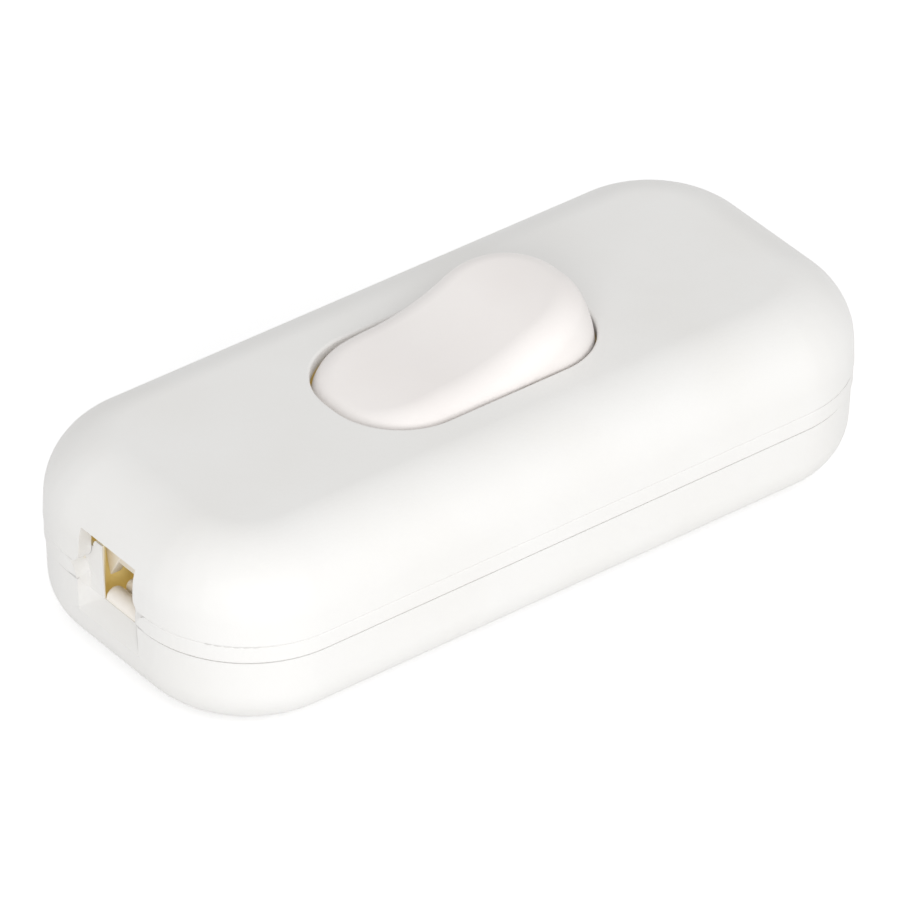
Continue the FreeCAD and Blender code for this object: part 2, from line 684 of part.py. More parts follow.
def dip_between(near, far, middle):
    """Centre and radius of the arc through (0, middle) that touches two round crowns from above.

    Each crown is (x, height, radius) of a circle, and the two crowns are equally far from the middle.
    """
    reach, sums = far[0], []
    for x, height, radius in (near, far):
        rise = height - middle
        sums.append(((x ** 2 + rise ** 2 - radius ** 2) / 2, rise, radius))
    rises, radii = sums[0][1] + sums[1][1], sums[0][2] + sums[1][2]
    high = ((sums[0][0] + sums[1][0]) / rises, -radii / rises)
    along = ((sums[1][0] - sums[1][1] * high[0]) / reach, -(sums[1][1] * high[1] + sums[1][2]) / reach)
    square = along[1] ** 2 + high[1] ** 2 - 1
    half = along[0] * along[1] + high[0] * high[1]
    rest = along[0] ** 2 + high[0] ** 2
    roots = [(-half + sign * math.sqrt(half ** 2 - square * rest)) / square for sign in (-1, 1)]
    radius = max(roots)
    return along[0] + along[1] * radius, middle + high[0] + high[1] * radius, radius


def rocker_wave(body):
    """Cuts the top to a wave: a shallow dip between a broad near crown and a tighter far crown."""
    middle = value("rocker_axis_depth + rocker_middle")
    reach, high = value("crown_spacing / 2"), value("opening_length")
    near = (-reach, value("rocker_axis_depth + near_crown - near_crown_radius"), value("near_crown_radius"))
    far = (reach, value("rocker_axis_depth + far_crown - far_crown_radius"), value("far_crown_radius"))
    dip = dip_between(near, far, middle)
    vector = FreeCAD.Vector
    sketch = new_sketch(body, "wave_sketch", "XZ_Plane")

    def join(crown):
        """The point where the dip touches a crown."""
        share = crown[2] / (crown[2] + dip[2])
        return vector(crown[0] + (dip[0] - crown[0]) * share, crown[1] + (dip[1] - crown[1]) * share, 0)

    def end_of(crown, x):
        return vector(x, crown[1] + math.sqrt(crown[2] ** 2 - (x - crown[0]) ** 2), 0)

    near_end, far_end = end_of(near, -value(WAVE_END)), end_of(far, value(WAVE_END))
    sketch.addGeometry(arc_between(far_end, join(far), far[2]), False)
    sketch.addGeometry(arc_between(join(near), join(far), dip[2]), False)
    sketch.addGeometry(arc_between(join(near), near_end, near[2]), False)
    corners = [near_end, vector(-high, near_end.y, 0), vector(-high, high, 0)]
    corners += [vector(high, high, 0), vector(high, far_end.y, 0), far_end]
    for start, stop in zip(corners, corners[1:]):
        sketch.addGeometry(Part.LineSegment(start, stop), False)
    sketch.addConstraint(Sketcher.Constraint("Tangent", 0, 2, 1, 2))
    sketch.addConstraint(Sketcher.Constraint("Tangent", 1, 1, 2, 1))
    for line in range(2, 7):
        sketch.addConstraint(Sketcher.Constraint("Coincident", line, 2, line + 1, 1))
    sketch.addConstraint(Sketcher.Constraint("Coincident", 7, 2, 0, 1))
    for kind, lines in (("Horizontal", (3, 7)), ("Vertical", (4, 6))):
        for line in lines:
            sketch.addConstraint(Sketcher.Constraint(kind, line))
    pin_point(sketch, 0, 3, ("crown_spacing / 2", "rocker_axis_depth + far_crown - far_crown_radius"))
    pin_point(sketch, 2, 3, ("-crown_spacing / 2", "rocker_axis_depth + near_crown - near_crown_radius"))
    sketch.addGeometry(Part.Point(vector(0, middle, 0)), True)
    sketch.addConstraint(Sketcher.Constraint("PointOnObject", 8, 1, 1))
    pin_point(sketch, 8, 1, ("0", "rocker_axis_depth + rocker_middle"))
    pin_point(sketch, 5, 1, ("-opening_length", "opening_length"))
    pin_point(sketch, 5, 2, ("opening_length", "opening_length"))
    held = (
        ("Radius", (0,), "far_crown_radius"),
        ("Radius", (2,), "near_crown_radius"),
        ("DistanceX", (-1, 1, 0, 1), WAVE_END),
        ("DistanceX", (-1, 1, 2, 2), f"-({WAVE_END})"),
    )
    for kind, where, text in held:
        index = sketch.addConstraint(Sketcher.Constraint(kind, *where, value(text)))
        sketch.setExpression(f"Constraints[{index}]", bound(text))
    pocket(body, "wave", sketch, "opening_width * 2", both_sides=True)


def rocker_underside(body):
    """Hollow with two guide bosses for the plungers, and the trunnions at the sides."""
    below = rectangle("-opening_length", "opening_length", "-opening_length", "-rocker_skirt")
    box(body, "Pocket", "skirt_end", "XZ_Plane", below, "opening_width * 2", both_sides=True)
    skirt, side = value("rocker_skirt"), value("opening_width / 2 - rocker_gap")

    def top_rim(edge):
        low_x, high_x, low_y, high_y, low_z, high_z = edge_span(edge)
        across = low_y < 1 - side and high_y > side - 1
        return low_z > 0.5 and high_z - low_z < skirt and not across

    round_edges(body, "top_round", "rocker_roundover", top_rim)
    hollow = new_sketch(body, "hollow_sketch", "XY_Plane", "-rocker_skirt")
    inside_length = "opening_length - 2 * rocker_gap - 2 * rocker_wall"
    inside_width = "opening_width - 2 * rocker_gap - 2 * rocker_wall"
    draw_rounded_rectangle(hollow, inside_length, inside_width, "opening_radius - rocker_gap - rocker_wall")
    roof = "rocker_axis_depth + rocker_middle - rocker_roof"
    pocket(body, "hollow", hollow, f"{roof} + rocker_skirt", reverse=True)
    bosses = new_sketch(body, "boss_sketch", "XY_Plane", "-boss_drop")
    bores = new_sketch(body, "bore_sketch", "XY_Plane", "-boss_drop")
    for side in ("-1", "1"):
        centre = ("0", f"{side} * pole_offset")
        draw_circle(bosses, centre, f"{BORE_RADIUS} + boss_wall")
        draw_circle(bores, centre, BORE_RADIUS)
    pad(body, "guide_bosses", bosses, f"boss_drop + {roof} + rocker_roof / 4")
    pocket(body, "guide_bores", bores, "boss_drop + bore_roof", reverse=True)
    trunnion = new_sketch(body, "trunnion_sketch", "XZ_Plane", "opening_width / 2 - rocker_gap - rocker_wall / 2")
    draw_circle(trunnion, ("0", "0"), "trunnion_radius")
    near = pad(body, "trunnion", trunnion, "rocker_wall / 2 + trunnion_length")
    mirror(body, "trunnions", [near], "XZ_Plane")


def rocker_button():
    body = new_body("rocker_button")
    rocker_barrel(body)
    rocker_wave(body)
    rocker_underside(body)
    place(body, z=ROCKER_AXIS, axis=RAISE_FAR_END, angle="rocker_tilt")


# The two poles by the side they are on, and what their plungers and levers share
POLES = {"line": "-pole_offset", "neutral": "pole_offset"}
LEVER_SEAT = "(lever_axis_height + lever_wall / 2)"
PLUNGER_REACH = f"plunger_radius + ({ROCKER_AXIS} - {LEVER_SEAT} - plunger_gap - plunger_radius) / cos(rocker_tilt)"


def plunger(pole, side):
    """A pin with a round tip, drawn about the rocker axis and tilted with the rocker."""
    body = new_body(f"{pole}_plunger")
    stem = new_sketch(body, "stem_sketch", "XY_Plane", f"-({PLUNGER_REACH})")
    draw_circle(stem, ("0", "0"), "plunger_radius")
    pad(body, "stem", stem, f"{PLUNGER_REACH} - plunger_top")
    tip = value(f"-({PLUNGER_REACH})")
    round_edges(body, "tip_round", "plunger_radius * 0.98", lambda edge: flat_at(edge, tip))
    place_on_rocker(body, side)


def place_on_rocker(body, side):
    place(body, y=side, z=ROCKER_AXIS, axis=RAISE_FAR_END, angle="rocker_tilt")


def spring(pole, side):
    """A compression spring between the plunger and the roof of its bore."""
    body = new_body(f"{pole}_spring")
    coil = new_sketch(body, "wire_sketch", "XZ_Plane")
    bottom = "closed_gap + spring_wire / 2 - plunger_top"
    draw_circle(coil, ("plunger_radius - spring_wire", bottom), "spring_wire / 2")
    helix = body.newObject("PartDesign::AdditiveHelix", "coil")
    helix.Profile = coil
    helix.ReferenceAxis = (coil, ["V_Axis"])
    helix.Mode = "pitch-height-angle"
    helix.setExpression("Pitch", bound("spring_pitch"))
    helix.setExpression("Height", bound("bore_roof + plunger_top - spring_wire - 2 * closed_gap"))
    DOC.recompute()
    place_on_rocker(body, side)


def lever(pole, side):
    """A rocking lever bent to a shallow V, with a groove below that sits on a knife edge."""
    body = new_body(f"{pole}_lever")
    half, rise = "lever_length / 2", "lever_length / 2 * tan(lever_tilt)"
    skin = "lever_wall / 2 / cos(lever_tilt)"
    mouth, seat = "knife_wall", "knife_radius + closed_gap"
    profile = [
        (f"-{half}", f"{rise} + {skin}"),
        (f"-{half}", f"{rise} - {skin}"),
        (f"-{mouth}", f"{mouth} * tan(lever_tilt) - {skin}"),
        (f"-({seat})", "0"),
        ("0", seat),
        (seat, "0"),
        (mouth, f"{mouth} * tan(lever_tilt) - {skin}"),
        (half, f"{rise} - {skin}"),
        (half, f"{rise} + {skin}"),
        ("0", skin),
    ]
    rounds = {3: f"-({seat})", 4: f"-({seat})"}
    box(body, "Pad", "arms", "XZ_Plane", profile, "lever_width", arcs=rounds, both_sides=True)
    place(body, y=side, z="lever_axis_height", axis=LOWER_FAR_END, angle="lever_tilt")


def contact(name, side, bottom, height):
    """A round contact button."""
    body = new_body(name)
    face = new_sketch(body, "face_sketch", "XY_Plane")
    draw_circle(face, ("0", "0"), "contact_radius")
    pad(body, "button", face, height)
    place(body, x=CONTACT_X, y=side, z=bottom)


def contacts(pole, side):
    fixed_top = f"{STRIP_TOP} + contact_height"
    moving_bottom = f"{fixed_top} + closed_gap"
    contact(f"{pole}_fixed_contact", side, STRIP_TOP, "contact_height")
    contact(
        f"{pole}_lever_contact", side, moving_bottom, f"lever_axis_height - lever_wall / 2 - ({moving_bottom})"
    )


def inlet_strip(pole, side):
    """Brass strip from the inlet terminal to the knife edge that carries the lever."""
    body = new_body(f"{pole}_inlet_strip")
    edge_height = "lever_axis_height - base_floor - plinth_height"
    profile = [
        (f"-{TERMINAL_END}", "0"),
        ("knife_wall / 2", "0"),
        ("knife_wall / 2", f"{edge_height} - knife_wall"),
        ("knife_radius", edge_height),
        ("0", f"{edge_height} + knife_radius"),
        ("-knife_radius", edge_height),
        ("-knife_wall / 2", f"{edge_height} - knife_wall"),
        ("-knife_wall / 2", "strip_wall"),
        (f"-{TERMINAL_END}", "strip_wall"),
    ]
    rounds = {3: "knife_radius", 4: "knife_radius"}
    box(body, "Pad", "strip", "XZ_Plane", profile, "strip_width", arcs=rounds, both_sides=True)
    place(body, y=side, z=PLINTH_TOP)


def outlet_strip(pole, side):
    """Brass strip from the fixed contact to the outlet terminal."""
    body = new_body(f"{pole}_outlet_strip")
    plan = rectangle(
        f"{CONTACT_X} - strip_width / 2", TERMINAL_END, "-strip_width / 2", "strip_width / 2"
    )
    box(body, "Pad", "strip", "XY_Plane", plan, "strip_wall")
    place(body, y=side, z=PLINTH_TOP)


def terminal(name, end, side):
    """A brass block bored along its length for the wire and from above for its screw."""
    body = new_body(name)
    plan = rectangle("-terminal_length / 2", "terminal_length / 2", "-terminal_width / 2", "terminal_width / 2")
    box(body, "Pad", "block", "XY_Plane", plan, "terminal_height")
    height = value("terminal_height")
    round_edges(body, "top_chamfer", "terminal_bore / 4", lambda edge: flat_at(edge, height), kind="Chamfer")
    bore = new_sketch(body, "bore_sketch", "YZ_Plane")
    draw_circle(bore, ("0", "terminal_bore_height"), "terminal_bore")
    pocket(body, "wire_bore", bore, "terminal_length + 1", both_sides=True)
    hole = new_sketch(body, "hole_sketch", "XY_Plane", "terminal_height")
    draw_circle(hole, ("0", "0"), "terminal_screw_radius + screw_clearance")
    pocket(body, "screw_hole", hole, "terminal_height - terminal_bore_height")
    place(body, x=f"{end} * {TERMINAL_X}", y=side, z=STRIP_TOP)


def pole_set(pole, side):
    plunger(pole, side)
    spring(pole, side)
    lever(pole, side)
    contacts(pole, side)
    inlet_strip(pole, side)
    outlet_strip(pole, side)
    terminal(f"{pole}_inlet_terminal", "-1", side)
    terminal(f"{pole}_outlet_terminal", "1", side)


def cord_clamp(name, angle):
    """A bar held by two screws, with a blunt tooth and a sharp one over the cord."""
    body = new_body(name)
    middle = "body_length / 2 - clamp_inset"
    ear = "clamp_screw_radius + boss_wall"
    bar = new_sketch(body, "bar_sketch", "XY_Plane", "clamp_seat")
    front, back = f"{middle} + clamp_width / 2", f"{middle} - clamp_width / 2"
    draw_polygon(
        bar, rectangle(back, front, f"-clamp_spacing / 2 - ({ear})", f"clamp_spacing / 2 + {ear}")
    )
    pad(body, "bar", bar, "clamp_plate")
    top, bottom = value("clamp_seat + clamp_plate"), value("clamp_seat")

    def upright(edge):
        span = edge_span(edge)
        return abs(span[4] - bottom) < 0.01 and abs(span[5] - top) < 0.01

    round_edges(body, "bar_corners", "clamp_width / 3", upright)
    tooth = "clamp_tooth"
    teeth = [
        (front, "clamp_seat + clamp_plate / 2"),
        (back, "clamp_seat + clamp_plate / 2"),
        (back, "clamp_seat"),
        (f"{middle} - clamp_point / 2", "clamp_seat"),
        (f"{middle} - clamp_point / 10", "clamp_seat - clamp_point"),
        (f"{middle} + clamp_point / 10", "clamp_seat - clamp_point"),
        (f"{middle} + clamp_point / 2", "clamp_seat"),
        (f"{front} - {tooth}", "clamp_seat"),
        (f"{front} - {tooth}", f"clamp_seat - {tooth}"),
        (front, f"clamp_seat - {tooth}"),
    ]
    box(body, "Pad", "teeth", "XZ_Plane", teeth, "clamp_tooth_width", both_sides=True)
    holes = new_sketch(body, "hole_sketch", "XY_Plane", "clamp_seat + clamp_plate")
    for side in ("-1", "1"):
        draw_circle(holes, (middle, f"{side} * clamp_spacing / 2"), "clamp_screw_radius + screw_clearance")
    pocket(body, "screw_holes", holes, "clamp_plate")
    place(body, angle=angle)


def screw(name, head_radius, shank_radius, length):
    """A slotted screw with its head above the origin and its shank below it."""
    body = new_body(name, exported=False)
    shank = new_sketch(body, "shank_sketch", "XY_Plane")
    draw_circle(shank, ("0", "0"), shank_radius)
    pad(body, "shank", shank, length, reverse=True)
    end = value(f"-({length})")
    round_edges(body, "point", f"{shank_radius} / 3", lambda edge: flat_at(edge, end), kind="Chamfer")
    head = new_sketch(body, "head_sketch", "XY_Plane")
    draw_circle(head, ("0", "0"), head_radius)
    pad(body, "head", head, "screw_head_height")
    top = value("screw_head_height")
    round_edges(body, "head_round", "screw_head_height / 2", lambda edge: flat_at(edge, top))
    slot = rectangle(f"-{head_radius}", head_radius, "-screw_head_height / 4", "screw_head_height / 4")
    box(body, "Pocket", "slot", "XY_Plane", slot, "screw_head_height / 2", offset="screw_head_height")
    return body


def screw_group(name, pattern, places):
    """Copies of one screw at several places, kept as one sub-part of separate solids."""
    links = []
    for index, how in enumerate(places):
        link = DOC.addObject("App::Link", f"{name}_{index + 1}")
        link.LinkedObject = pattern
        place(link, **how)
        links.append(link)
    group = DOC.addObject("Part::Compound", name)
    group.Label = name
    group.Links = links
    PARTS.append(group)
    DOC.recompute()


def screws():
    ends = [(end, side) for end in ("-1", "1") for side in ("-1", "1")]
    shank = "terminal_height - terminal_bore_height - terminal_bore / 2"
    pattern = screw("terminal_screw", "terminal_head_radius", "terminal_screw_radius", shank)
    seat = f"{STRIP_TOP} + terminal_height"
    places = [dict(x=f"{end} * {TERMINAL_X}", y=f"{side} * pole_offset", z=seat) for end, side in ends]
    screw_group("terminal_screws", pattern, places)
    pattern = screw("clamp_screw", "clamp_head_radius", "clamp_screw_radius", "clamp_screw_length")
    inset = "(body_length / 2 - clamp_inset)"
    seat = "clamp_seat + clamp_plate"
    places = [dict(x=f"{end} * {inset}", y=f"{side} * clamp_spacing / 2", z=seat) for end, side in ends]
    screw_group("clamp_screws", pattern, places)
    pattern = screw("housing_screw", "housing_head_radius", "housing_screw_radius", "housing_screw_length")
    corners = [("-1", "1"), ("1", "-1")]
    turned = dict(z="housing_screw_recess", axis=RAISE_FAR_END, angle="180")
    places = [
        dict(x=f"{end} * {HOUSING_SCREW_X}", y=f"{side} * housing_screw_y", **turned) for end, side in corners
    ]
    screw_group("housing_screws", pattern, places)


def check_and_write():
    """Every object must be sound before any file is written."""
    DOC.recompute()
    for item in DOC.Objects:
        if "Invalid" in item.State or "Error" in item.State:
            raise RuntimeError(f"{item.Label} is not valid: {item.State}")
    os.makedirs("parts", exist_ok=True)
    for part in PARTS:
        if part.Shape.isNull() or not part.Shape.isValid():
            raise RuntimeError(f"{part.Label} has no valid shape")
        part.Shape.exportStep(f"parts/{part.Label}.step")
        print(part.Label, len(part.Shape.Solids), round(part.Shape.Volume, 2))


fill_sheet()
base_shell()
cover_shell()
rocker_button()
for pole_name, pole_side in POLES.items():
    pole_set(pole_name, pole_side)
cord_clamp("near_cord_clamp", "180")
cord_clamp("far_cord_clamp", "0")
screws()
check_and_write()
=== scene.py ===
"""Inline cord switch: finishes, cord entries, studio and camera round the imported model."""

import math

import bmesh
import bpy
import numpy as np
from mathutils import Matrix, Vector


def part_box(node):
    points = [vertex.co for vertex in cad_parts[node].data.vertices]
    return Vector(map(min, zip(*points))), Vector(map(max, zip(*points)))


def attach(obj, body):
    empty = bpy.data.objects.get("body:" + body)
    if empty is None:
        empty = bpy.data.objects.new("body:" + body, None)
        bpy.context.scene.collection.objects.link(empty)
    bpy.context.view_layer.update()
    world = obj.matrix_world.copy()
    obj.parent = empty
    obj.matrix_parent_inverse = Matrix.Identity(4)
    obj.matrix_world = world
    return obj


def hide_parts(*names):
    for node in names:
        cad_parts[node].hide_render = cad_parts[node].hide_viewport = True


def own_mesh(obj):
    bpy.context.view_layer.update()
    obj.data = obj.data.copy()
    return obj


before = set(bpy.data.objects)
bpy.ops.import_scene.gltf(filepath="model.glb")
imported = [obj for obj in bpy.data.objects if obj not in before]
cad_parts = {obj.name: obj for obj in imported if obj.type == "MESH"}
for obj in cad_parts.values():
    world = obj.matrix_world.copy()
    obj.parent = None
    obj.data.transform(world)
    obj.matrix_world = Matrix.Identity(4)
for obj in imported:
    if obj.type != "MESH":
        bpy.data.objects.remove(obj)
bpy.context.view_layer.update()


# Base and cover: two thin shells injection moulded in white thermoplastic, held together by two screws from
# below. The tool leaves a fine spark-eroded grain outside. The inner walls get painted shade, a darker golden
# colour, and a painted glow, standing for light that reaches them only through plastic and off other walls.
MILLIMETRE = 0.001
SHELL_WHITE = (0.86, 0.853, 0.838, 1.0)
SHELL_SHADE = (0.842, 0.832, 0.812, 1.0)
# Painted shade and painted glow for the inner walls: a darker golden colour and an emission colour.
PAINTED_INNER_SHADE = (0.79, 0.66, 0.31, 1.0)
PAINTED_INNER_GLOW = (0.26, 0.20, 0.07, 1.0)
NO_GLOW = (0.0, 0.0, 0.0, 1.0)
WARM_FROM, WARM_TO = 1.1 * MILLIMETRE, 2.6 * MILLIMETRE
CLOUD_EDGES = (0.35, 0.65)
GRAIN_ROUGHENS, CLOUDS_ROUGHEN = 0.10, 0.08
WAVES_PER_METRE = 130.0
MERGE_WITHIN = 0.0005 * MILLIMETRE
SHELL_SHARP, LARGE_FACES_LEAD = 14, 80


def add_node(tree, kind, place, **settings):
    """A node of one kind at a place on the sheet, with its properties and input values set."""
    node = tree.nodes.new(kind)
    node.location = (place[0] * 190, -place[1] * 170)
    for name, setting in settings.items():
        if hasattr(node, name):
            setattr(node, name, setting)
        else:
            node.inputs[name.replace("_", " ")].default_value = setting
    return node


def feed(tree, source, target):
    """Joins another node's output to a socket, or sets the socket to a plain value."""
    if isinstance(source, bpy.types.NodeSocket):
        tree.links.new(source, target)
    else:
        target.default_value = source


def work_out(tree, place, operation, *terms):
    """The result of a Math node, whose terms are other nodes' outputs or plain numbers."""
    node = add_node(tree, "ShaderNodeMath", place, operation=operation)
    for term, socket in zip(terms, node.inputs):
        feed(tree, term, socket)
    return node.outputs["Value"]


def mix_colours(tree, place, factor, first, second):
    """The first colour mixed with the second by a factor."""
    node = add_node(tree, "ShaderNodeMix", place, data_type="RGBA")
    for label, term in (("Factor", factor), ("A", first), ("B", second)):
        feed(tree, term, node.inputs[label])
    return node.outputs["Result"]


def new_group(name, inputs, outputs):
    """An empty shader group with named sockets, and its input and output nodes."""
    group = bpy.data.node_groups.new(name, "ShaderNodeTree")
    for label, (kind, default) in inputs.items():
        socket = group.interface.new_socket(label, in_out="INPUT", socket_type=kind)
        socket.default_value = default
    for label, kind in outputs.items():
        group.interface.new_socket(label, in_out="OUTPUT", socket_type=kind)
    return group, add_node(group, "NodeGroupInput", (-2, 0)), add_node(group, "NodeGroupOutput", (9, 0))


def moulded_grain_group():
    """Colour, roughness and height of a moulded skin.

    Colour: the two given colours mixed by clouds a few millimetres wide. Roughness: the given value,
    raised a little by the same clouds, and raised or lowered by the grain. Height: fine grain plus a slow
    waviness, as thin walls have where they shrink.
    """
    colour, number = "NodeSocketColor", "NodeSocketFloat"
    inputs = {
        "Colour": (colour, (0.8, 0.8, 0.8, 1.0)),
        "Second Colour": (colour, (0.7, 0.7, 0.7, 1.0)),
        "Roughness": (number, 0.4),
        "Grain per Metre": (number, 4000.0),
        "Clouds per Metre": (number, 90.0),
        "Waviness": (number, 0.6),
    }
    outputs = {"Colour": colour, "Roughness": number, "Height": number}
    group, given, result = new_group("moulded grain", inputs, outputs)
    place = add_node(group, "ShaderNodeTexCoord", (-2, 3))
    grain = add_node(group, "ShaderNodeTexNoise", (0, 1), Detail=3.0, Roughness=0.6)
    clouds = add_node(group, "ShaderNodeTexNoise", (0, 3), Detail=4.0, Roughness=0.5)
    waves = add_node(group, "ShaderNodeTexNoise", (0, 5), Scale=WAVES_PER_METRE, Detail=1.0)
    feed(group, given.outputs["Grain per Metre"], grain.inputs["Scale"])
    feed(group, given.outputs["Clouds per Metre"], clouds.inputs["Scale"])
    for noise in (grain, clouds, waves):
        feed(group, place.outputs["Object"], noise.inputs["Vector"])
    soften = add_node(group, "ShaderNodeMapRange", (1, 3), From_Min=CLOUD_EDGES[0], From_Max=CLOUD_EDGES[1])
    feed(group, clouds.outputs["Fac"], soften.inputs["Value"])
    mixed = mix_colours(
        group, (3, 0), soften.outputs["Result"], given.outputs["Colour"], given.outputs["Second Colour"]
    )
    fine = work_out(group, (2, 2), "MULTIPLY_ADD", grain.outputs["Fac"], GRAIN_ROUGHENS, -GRAIN_ROUGHENS / 2)
    broad = work_out(group, (3, 3), "MULTIPLY_ADD", clouds.outputs["Fac"], CLOUDS_ROUGHEN, fine)
    rough = work_out(group, (5, 2), "ADD", given.outputs["Roughness"], broad)
    height = work_out(
        group, (5, 4), "MULTIPLY_ADD", waves.outputs["Fac"], given.outputs["Waviness"], grain.outputs["Fac"]
    )
    feed(group, mixed, result.inputs["Colour"])
    feed(group, rough, result.inputs["Roughness"])
    feed(group, height, result.inputs["Height"])
    return group


MOULDED_GRAIN = moulded_grain_group()


def depth_under_skin_group(half_length, half_width, plan_radius, low, high, edge_radius):
    """How far a point lies under the housing's outer skin, in metres.

    The plan distance is that to a rectangle with round corners: the length of what is left of |x|, |y|
    after the straight parts, less the corner radius. It and the distance past the top or bottom then
    go through the same sum once more with the edge radius.
    """
    group, _, result = new_group("depth under skin", {}, {"Depth": "NodeSocketFloat"})
    place = add_node(group, "ShaderNodeTexCoord", (-2, 2))
    parts = add_node(group, "ShaderNodeSeparateXYZ", (-1, 2))
    feed(group, place.outputs["Object"], parts.inputs["Vector"])

    def past(source, straight, row, middle=0.0):
        """What is left of a coordinate's size after its straight part, and not under zero."""
        shifted = work_out(group, (0, row), "SUBTRACT", source, middle)
        size = work_out(group, (1, row), "ABSOLUTE", shifted)
        less = work_out(group, (2, row), "SUBTRACT", size, straight)
        return work_out(group, (3, row), "MAXIMUM", less, 0.0)

    def length_less(first, second, radius, row):
        """The diagonal of two distances at right angles, less a radius."""
        pair = add_node(group, "ShaderNodeCombineXYZ", (4, row))
        span = add_node(group, "ShaderNodeVectorMath", (5, row), operation="LENGTH")
        feed(group, first, pair.inputs["X"])
        feed(group, second, pair.inputs["Y"])
        feed(group, pair.outputs["Vector"], span.inputs[0])
        return work_out(group, (6, row), "SUBTRACT", span.outputs["Value"], radius)

    along = past(parts.outputs["X"], half_length - plan_radius, 0)
    across = past(parts.outputs["Y"], half_width - plan_radius, 1)
    plan = length_less(along, across, plan_radius - edge_radius, 0)
    plan_outside = work_out(group, (7, 0), "MAXIMUM", plan, 0.0)
    upward = past(parts.outputs["Z"], (high - low) / 2 - edge_radius, 2, (low + high) / 2)
    outside = length_less(plan_outside, upward, edge_radius, 2)
    feed(group, work_out(group, (8, 2), "MULTIPLY", outside, -1.0), result.inputs["Depth"])
    return group


_, cover_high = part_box("cover_shell")
base_low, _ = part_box("base_shell")
PLAN_RADIUS = 11.9 * MILLIMETRE
EDGE_RADIUS = 5.8 * MILLIMETRE
UNDER_SKIN = depth_under_skin_group(
    cover_high.x, cover_high.y, PLAN_RADIUS, base_low.z, cover_high.z, EDGE_RADIUS
)


def entry_front_group(inner_end, half_width, blur):
    """A mask that is one on the front of each entry: |x| past inner_end and |y| under half_width."""
    group, _, result = new_group("entry front", {}, {"Mask": "NodeSocketFloat"})
    place = add_node(group, "ShaderNodeTexCoord", (-2, 2))
    parts = add_node(group, "ShaderNodeSeparateXYZ", (-1, 2))
    feed(group, place.outputs["Object"], parts.inputs["Vector"])
    masks = []
    for row, (axis, start, stop) in enumerate((
        ("X", inner_end - blur, inner_end + blur),
        ("Y", half_width + blur, half_width - blur),
    )):
        size = work_out(group, (0, row), "ABSOLUTE", parts.outputs[axis])
        ramp = add_node(
            group, "ShaderNodeMapRange", (1, row),
            interpolation_type="SMOOTHSTEP", From_Min=start, From_Max=stop,
        )
        feed(group, size, ramp.inputs["Value"])
        masks.append(ramp.outputs["Result"])
    feed(group, work_out(group, (3, 0), "MULTIPLY", *masks), result.inputs["Mask"])
    return group


ENTRY_FRONT = entry_front_group(
    inner_end=38.3 * MILLIMETRE, half_width=5.2 * MILLIMETRE, blur=0.06 * MILLIMETRE
)


def new_material(name, **sockets):
    """A material with one Principled shader, whose fixed values are set on its own sockets."""
    material = bpy.data.materials.new(name)
    material.use_nodes = True
    shader = material.node_tree.nodes["Principled BSDF"]
    for label, setting in sockets.items():
        shader.inputs[label.replace("_", " ")].default_value = setting
    return material, material.node_tree, shader


def dress(tree, shader, skin, strength, depth):
    """Feeds a shader with a skin group's colour and roughness, and its height as a bump in metres."""
    bump = add_node(tree, "ShaderNodeBump", (-2, 2), Strength=strength, Distance=depth)
    feed(tree, skin.outputs["Colour"], shader.inputs["Base Color"])
    feed(tree, skin.outputs["Roughness"], shader.inputs["Roughness"])
    feed(tree, skin.outputs["Height"], bump.inputs["Height"])
    feed(tree, bump.outputs["Normal"], shader.inputs["Normal"])


def add_grain(tree, shader, colour, second_colour, roughness, depth, grain=4000.0, clouds=90.0):
    """Dresses a shader in the moulded grain; depth is the bump's height in metres."""
    skin = add_node(tree, "ShaderNodeGroup", (-4, 0), node_tree=MOULDED_GRAIN)
    for label, setting in (
        ("Colour", colour), ("Second Colour", second_colour), ("Roughness", roughness),
        ("Grain per Metre", grain), ("Clouds per Metre", clouds),
    ):
        feed(tree, setting, skin.inputs[label])
    dress(tree, shader, skin, strength=1.0, depth=depth)
    return skin


def shell_plastic(name):
    """White moulded plastic, with painted shade and a painted glow below the outer skin, except on the front
    of each entry.
    """
    material, tree, shader = new_material(name, IOR=1.46, Specular_IOR_Level=0.45, Emission_Strength=0.5)
    skin = add_grain(tree, shader, SHELL_WHITE, SHELL_SHADE, roughness=0.42, depth=0.012 * MILLIMETRE)
    under = add_node(tree, "ShaderNodeGroup", (-6, 3), node_tree=UNDER_SKIN)
    inner = add_node(
        tree, "ShaderNodeMapRange", (-4, 3),
        interpolation_type="SMOOTHSTEP", From_Min=WARM_FROM, From_Max=WARM_TO,
    )
    feed(tree, under.outputs["Depth"], inner.inputs["Value"])
    front = add_node(tree, "ShaderNodeGroup", (-6, 5), node_tree=ENTRY_FRONT)
    behind = work_out(tree, (-4, 5), "MULTIPLY_ADD", front.outputs["Mask"], -1.0, 1.0)
    mask = work_out(tree, (-3, 4), "MULTIPLY", behind, inner.outputs["Result"])
    # Painted shade and glow: the darker golden colour and the emission colour wherever the mask is one.
    painted_shade = mix_colours(tree, (-2, 0), mask, skin.outputs["Colour"], PAINTED_INNER_SHADE)
    painted_glow = mix_colours(tree, (-2, -2), mask, NO_GLOW, PAINTED_INNER_GLOW)
    feed(tree, painted_shade, shader.inputs["Base Color"])
    feed(tree, painted_glow, shader.inputs["Emission Color"])
    return material


def coat(mesh, material):
    """Gives a mesh one material and no other."""
    mesh.materials.clear()
    mesh.materials.append(material)


def finish(node, material):
    """Gives a CAD node its material."""
    coat(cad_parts[node].data, material)


def new_piece(label, mesh):
    """An object at the origin, in the scene, with a mesh."""
    piece = bpy.data.objects.new(label, mesh)
    bpy.context.scene.collection.objects.link(piece)
    return piece


